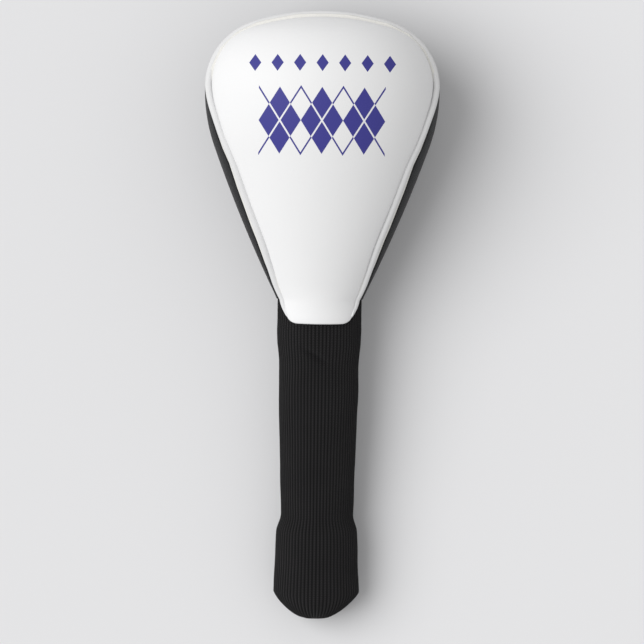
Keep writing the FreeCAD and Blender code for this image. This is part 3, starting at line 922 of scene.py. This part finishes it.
@dataclass(frozen=True)
class Knit:
    """The rib knit: its ribs, its courses and how it is turned into a closed double wall."""

    ribs: int = 70
    rib_height: float = 0.55 * MM
    course: float = 0.95 * MM
    wall: float = 1.3 * MM
    flatness: float = 0.67
    cells_per_rib: int = 6
    row: float = 1.2 * MM
    sway: float = 0.4 * MM
    sway_round: float = 2.0
    sway_along: float = 60.0
    roundness: float = 0.7
    inner_rib: float = 0.35

    def build(self, name: str, section: Sequence[Station],
              shape: Callable[..., np.ndarray]) -> bpy.types.Object:
        """Spin a closed section round the centre line and rib it.

        Args:
            name: the piece's name.
            section: its corners, from the top down the outside and up the inside again.
            shape: changes the places of points, given their turn and share of the dome.

        Returns:
            The object.
        """
        stations, corners = self.spread(section)
        bm = self.spin(stations, corners)
        places = coordinates(bm)
        station = bm.verts.layers.int["station"]
        number = np.array([vert[station] for vert in bm.verts])
        turn = np.arctan2(places[:, 2], places[:, 0])
        *_, dome, _ = stations[number].T
        move_to(bm, shape(self.raise_ribs(stations, corners, number, turn), turn, dome))
        steps = np.linalg.norm(np.diff(stations[:, :2], axis=0), axis=1)
        reach = np.concatenate([[0.0], np.cumsum(steps)]) - stations[0, 0]
        self.unwrap(bm, turn, reach[number])
        bmesh.ops.recalc_face_normals(bm, faces=bm.faces)
        return add_piece(name, bm, BLACK_KNIT)

    def spread(self, section: Sequence[Station]) -> tuple[np.ndarray, set[int]]:
        """Fill a section with rows of the knit.

        Args:
            section: its corners.

        Returns:
            The stations, one to a row, and which of them are sharp corners.
        """
        rows, corners = [], set()
        closed = np.array([*section, section[0]])
        for start, end in zip(closed, closed[1:]):
            steps = max(1, round(float(np.linalg.norm((end - start)[:2])) / self.row))
            if start[-1] > 0:
                corners.add(len(rows))
            rows += [start + (end - start) * k / steps for k in range(steps)]
        return np.array(rows), corners

    def spin(self, stations: np.ndarray, corners: set[int]) -> bmesh.types.BMesh:
        """Spin the stations into a closed wall, whose vertices keep their station's number."""
        bm = bmesh.new()
        station = bm.verts.layers.int.new("station")
        verts = []
        for k, (at, half_width) in enumerate(stations[:, :2]):
            vert = bm.verts.new((half_width, at, 0))
            vert[station] = k
            verts.append(vert)
        edges = [bm.edges.new(pair) for pair in zip(verts, verts[1:] + verts[:1])]
        bmesh.ops.spin(bm, geom=verts + edges, axis=(0, 1, 0), cent=(0, 0, 0), angle=2 * math.pi,
                       steps=self.ribs * self.cells_per_rib, use_merge=True)
        bmesh.ops.remove_doubles(bm, verts=bm.verts, dist=1e-7)
        for edge in bm.edges:
            first, second = (vert[station] for vert in edge.verts)
            edge.smooth = not (first == second and first in corners)
        return bm

    def raise_ribs(self, stations: np.ndarray, corners: set[int], number: np.ndarray,
                   turn: np.ndarray) -> np.ndarray:
        """Flatten the spun wall, and give it its ribs and a slight unevenness.

        Args:
            stations: the section's rows.
            corners: which of them are sharp.
            number: each point's station.
            turn: each point's turn round the centre line.

        Returns:
            The points' places.
        """
        ahead = np.roll(stations[:, :2], -1, axis=0) - np.roll(stations[:, :2], 1, axis=0)
        ahead /= np.maximum(np.linalg.norm(ahead, axis=1, keepdims=True), 1e-12)
        for k in corners:
            ahead[k] = (-1.0, 0.0) if stations[k, 3] > self.inner_rib else (1.0, 0.0)
        at, half_width, flat, rib, _, _ = stations[number].T
        ridge = np.abs(np.cos(math.pi * turn / (2 * math.pi) * self.ribs)) ** self.roundness
        sway = np.array([noise.noise(Vector((math.cos(angle) * self.sway_round,
                                             math.sin(angle) * self.sway_round, place * self.sway_along)))
                         for angle, place in zip(turn, at)])
        lift = rib * (self.rib_height * (ridge - 1.0) + self.sway * sway)
        out = half_width - lift * ahead[number, 0]
        end = at + lift * ahead[number, 1]
        return np.stack([out * np.cos(turn), end, flat * out * np.sin(turn)], axis=1)

    def wall_section(self, outside: Sequence[tuple[float, float]]) -> list[Station]:
        """A closed double wall from its outside, listed from the top down.

        Args:
            outside: place and half width of each corner.

        Returns:
            The corners of the wall's section.
        """
        last = len(outside) - 1
        outer = [Station(at, half_width, self.flatness, sharp=float(k in (0, last)))
                 for k, (at, half_width) in enumerate(outside)]
        inner = [corner._replace(half_width=corner.half_width - self.wall, rib=self.inner_rib)
                 for corner in reversed(outer)]
        return outer + inner

    def unwrap(self, bm: bmesh.types.BMesh, turn: np.ndarray, reach: np.ndarray) -> None:
        """Write the cloth's own coordinates, counted in ribs and courses."""
        layer = bm.loops.layers.uv.new("Cloth")
        bm.verts.index_update()
        for face in bm.faces:
            turns = [turn[loop.vert.index] for loop in face.loops]
            wraps = max(turns) - min(turns) > math.pi
            reaches = [reach[loop.vert.index] for loop in face.loops]
            closes = max(reaches) - min(reaches) > 4 * self.row
            for loop, angle, length in zip(face.loops, turns, reaches):
                angle += 2 * math.pi if wraps and angle < 0 else 0.0
                length = max(reaches) + self.row if closes and length == min(reaches) else length
                loop[layer].uv = (angle / (2 * math.pi) * self.ribs + 0.5, length / self.course)


@dataclass
class KnitSock:
    """The sock: the stretch at the neck, with a crease pressed into its front, and the stretch down to the
    cuff.
    """

    knit: Knit = field(default_factory=Knit)
    top_at: float = 12.5 * MM
    split_at: float = -40.1 * MM
    end_at: float = -113.2 * MM
    half_widths: tuple = ((-113.2, 20.5), (-105, 20.8), (-76, 21.6), (-48, 22.5), (-40.1, 22.6), (-30, 22.5),
                          (-25, 22.7), (-16, 23.6), (-8, 23.9), (12.5, 23.6))
    blend_start: float = -1 * MM
    crease: tuple = ((-9 * MM, -17 * MM), (6.5 * MM, -26.5 * MM))
    crease_depth: float = 2.0 * MM
    crease_width: float = 1.6 * MM
    crease_ends: tuple = (0.08, 0.92)

    def outside(self, top: float, end: float) -> list[tuple[float, float]]:
        """Corners of the sock's outside between two places, from the top down."""
        inner = [place * MM for place, _ in reversed(self.half_widths) if end < place * MM < top]
        return [(at, float(by_place(np.array(at), self.half_widths))) for at in (top, *inner, end)]

    def build(self) -> None:
        """Make both stretches."""
        neck_wall = self.knit.wall_section(self.outside(self.top_at, self.split_at))
        neck = self.knit.build("neck_knit", neck_wall, self.fold)
        LINE.at(self.blend_start)
        LINE.at(self.split_at)
        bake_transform(neck)
        hand_over(neck, None, BLACK_KNIT, "sock_neck")
        tube_wall = self.knit.wall_section(self.outside(self.split_at, self.end_at))
        tube = self.knit.build("sock_knit", tube_wall, self.fold)
        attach(tube, Part.SOCK.value)
        LINE.at(self.split_at)
        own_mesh(tube)
        hand_over(tube, None, BLACK_KNIT, "sock_tube")

    def fold(self, spots: np.ndarray, turn: np.ndarray, dome: np.ndarray) -> np.ndarray:
        """Press the slanting crease into the front of the neck; turn and dome play no part in it."""
        start, end = (np.array(corner) for corner in self.crease)
        run = end - start
        plan = spots[:, :2]
        share = np.clip((plan - start) @ run / (run @ run), 0, 1)
        reach = np.linalg.norm(plan - (start + share[:, None] * run), axis=1)
        front = spots[:, 2] > 0
        fade = np.sin(math.pi * np.clip(share, *self.crease_ends))
        spots[:, 2] -= front * self.crease_depth * fade * np.exp(-(reach / self.crease_width) ** 2)
        return spots


@dataclass
class GatheredCuff:
    """The doubled cuff, whose end is rounded in to an elastic mouth."""

    knit: Knit = field(default_factory=Knit)
    top_at: float = -113.2 * MM
    waist: float = 20.5 * MM
    shoulder_at: float = -124 * MM
    shoulder: float = 23.1 * MM
    widest: float = 24.4 * MM
    full_at: float = -157.8 * MM
    dome: float = 14.4 * MM
    mouth_outer: float = 8.1 * MM
    mouth_bore: float = 6.7 * MM
    lip: float = 1.1 * MM
    mouth_depth: float = 10 * MM
    hem_at: float = -117.5 * MM
    hem: float = 2.9 * MM
    hem_low: float = 4 * MM
    hem_full: float = 9 * MM
    hem_draw: float = 3 * MM
    hem_turn: float = 0.5 * MM
    hem_slack: float = 0.6 * MM
    lip_roll: float = 0.4
    shoulder_rows: int = 9
    dome_rows: int = 22
    dome_rib: float = 0.8
    mouth_rib: float = 0.5
    side_power: float = 1.3
    front_power: float = 2.3

    def build(self) -> None:
        """Make the cuff and let it ride on its own part."""
        cuff = self.knit.build("cuff_knit", self.section(), self.round_end)
        hand_over(cuff, Part.CUFF, BLACK_KNIT, "cuff_outer", "cuff_inner", "mouth_elastic")

    def section(self) -> list[Station]:
        """The cuff's closed section: outside, rounded end, mouth, turned-in hem and knit."""
        flat, inner = self.knit.flatness, self.knit.inner_rib
        rows = []
        for share in np.linspace(0, 1, self.shoulder_rows):
            rise = (1 - math.cos(math.pi * share)) / 2
            rows.append(Station(self.top_at + (self.shoulder_at - self.top_at) * share,
                                self.waist + (self.shoulder - self.waist) * rise, flat,
                                sharp=float(share == 0)))
        rows.append(Station(self.full_at, self.widest, flat))
        for share in np.linspace(0, 1, self.dome_rows)[1:]:
            turn = share * math.pi / 2
            rows.append(Station(self.full_at - self.dome * math.sin(turn),
                                self.mouth_outer + (self.widest - self.mouth_outer) * math.cos(turn),
                                flat + (1 - flat) * share ** 2,
                                rib=1.0 + self.dome_rib * math.sin(2 * turn), dome=share))
        end_at = self.full_at - self.dome
        rows += [Station(at, half_width, 1.0, self.mouth_rib, dome=1.0) for at, half_width in (
            (end_at - self.lip_roll * self.lip, (self.mouth_outer + self.mouth_bore) / 2),
            (end_at + self.lip, self.mouth_bore),
            (end_at + self.mouth_depth, self.mouth_bore))]
        rows += [Station(at, half_width, flat, inner) for at, half_width in (
            (self.full_at + self.hem_low, self.widest - self.hem - self.hem_draw),
            (self.full_at + self.hem_full, self.widest - self.hem),
            (self.shoulder_at, self.shoulder - self.hem),
            (self.hem_at, self.waist + self.hem_slack - self.hem),
            (self.hem_at + self.hem_turn, self.waist - self.knit.wall))]
        rows.append(Station(self.top_at, self.waist - self.knit.wall, flat, inner, sharp=1.0))
        return rows

    def round_end(self, spots: np.ndarray, turn: np.ndarray, dome: np.ndarray) -> np.ndarray:
        """Bring the end in like a blunt cone, but keep the ribs on the front straight until close to it."""
        front = np.clip(np.sin(turn), 0.0, 1.0) ** 3
        power = 2 / (self.side_power + (self.front_power - self.side_power) * front)
        on_dome = (dome > 0) & (dome < 1)
        cosine, sine = np.cos(dome * math.pi / 2), np.sin(dome * math.pi / 2)
        span = self.widest - self.mouth_outer
        ratio = (self.mouth_outer + span * np.abs(cosine) ** power) / (self.mouth_outer + span * cosine)
        drop = self.dome * (np.abs(sine) ** power - sine)
        scale = np.where(on_dome, ratio, 1.0)
        spots[:, 0] *= scale
        spots[:, 2] *= scale
        spots[:, 1] -= np.where(on_dome, drop, 0.0)
        return spots


@dataclass
class Studio:
    """A pale floor, soft light from the left and a camera straight above."""

    floor_colour: tuple = (0.77, 0.77, 0.78)
    floor_cloud: float = 0.985
    floor_half: float = 3.0
    camera_height: float = 3.0
    camera_at: tuple = (0.0015, -0.0034)
    camera_roll: float = 0.74
    field_of_view: float = 7.04
    sky: float = 0.52
    sun: float = 2.0
    sun_turn: tuple = (-6.0, -38.0, 0.0)
    sun_size: float = 52.0

    def build(self) -> None:
        """Set the floor, the light and the camera."""
        self.floor()
        self.light()
        self.camera()

    def floor(self) -> None:
        """A large plain floor, just under the cover."""
        bm = bmesh.new()
        bmesh.ops.create_grid(bm, x_segments=1, y_segments=1, size=self.floor_half)
        mesh = bpy.data.meshes.new("floor")
        bm.to_mesh(mesh)
        bm.free()
        sheet = NodeSheet("floor_paper")
        darker = tuple(self.floor_cloud * value for value in self.floor_colour)
        shade = sheet.tint(sheet.noise(2.0, 1.0), darker, self.floor_colour)
        mesh.materials.append(sheet.finish(Base_Color=shade, Roughness=0.9, Specular_IOR_Level=0.1))
        floor = bpy.data.objects.new("floor", mesh)
        bpy.context.scene.collection.objects.link(floor)

    def light(self) -> None:
        """One soft sun from the left over an even sky."""
        world = bpy.data.worlds.new("sky")
        world.use_nodes = True
        world.node_tree.nodes["Background"].inputs["Color"].default_value = (1.0, 1.0, 1.0, 1.0)
        world.node_tree.nodes["Background"].inputs["Strength"].default_value = self.sky
        bpy.context.scene.world = world
        lamp = bpy.data.lights.new("key", "SUN")
        lamp.energy = self.sun
        lamp.angle = math.radians(self.sun_size)
        key = bpy.data.objects.new("key", lamp)
        key.rotation_euler = [math.radians(value) for value in self.sun_turn]
        bpy.context.scene.collection.objects.link(key)

    def camera(self) -> None:
        """The camera, looking straight down."""
        lens = bpy.data.cameras.new("camera")
        lens.sensor_fit = "HORIZONTAL"
        lens.angle = math.radians(self.field_of_view)
        camera = bpy.data.objects.new("camera", lens)
        camera.location = (*self.camera_at, self.camera_height)
        camera.rotation_euler.z = math.radians(self.camera_roll)
        bpy.context.scene.collection.objects.link(camera)
        bpy.context.scene.camera = camera


def dress_inner_pieces() -> None:
    """Give every solid that the frame still shows the finish of its slot."""
    slots = {item["node"]: item["material_slot"] for item in frame["record"]["subparts"]}
    for name, node in frame["nodes"].items():
        finish = INNER_FINISHES.get(slots[name])
        if node.hide_render or finish is None:
            continue
        for holder in node.material_slots:
            holder.material = finish.material()
        LOG.info("%s wears %s", name, slots[name])


def main() -> None:
    """Build the cover and its setting."""
    logging.basicConfig(level=logging.INFO, format="%(message)s")
    bpy.context.scene.view_settings.view_transform = "Standard"
    Studio().build()
    PaddedHead().build()
    KnitSock().build()
    GatheredCuff().build()
    dress_inner_pieces()


if __name__ == "__main__":
    main()
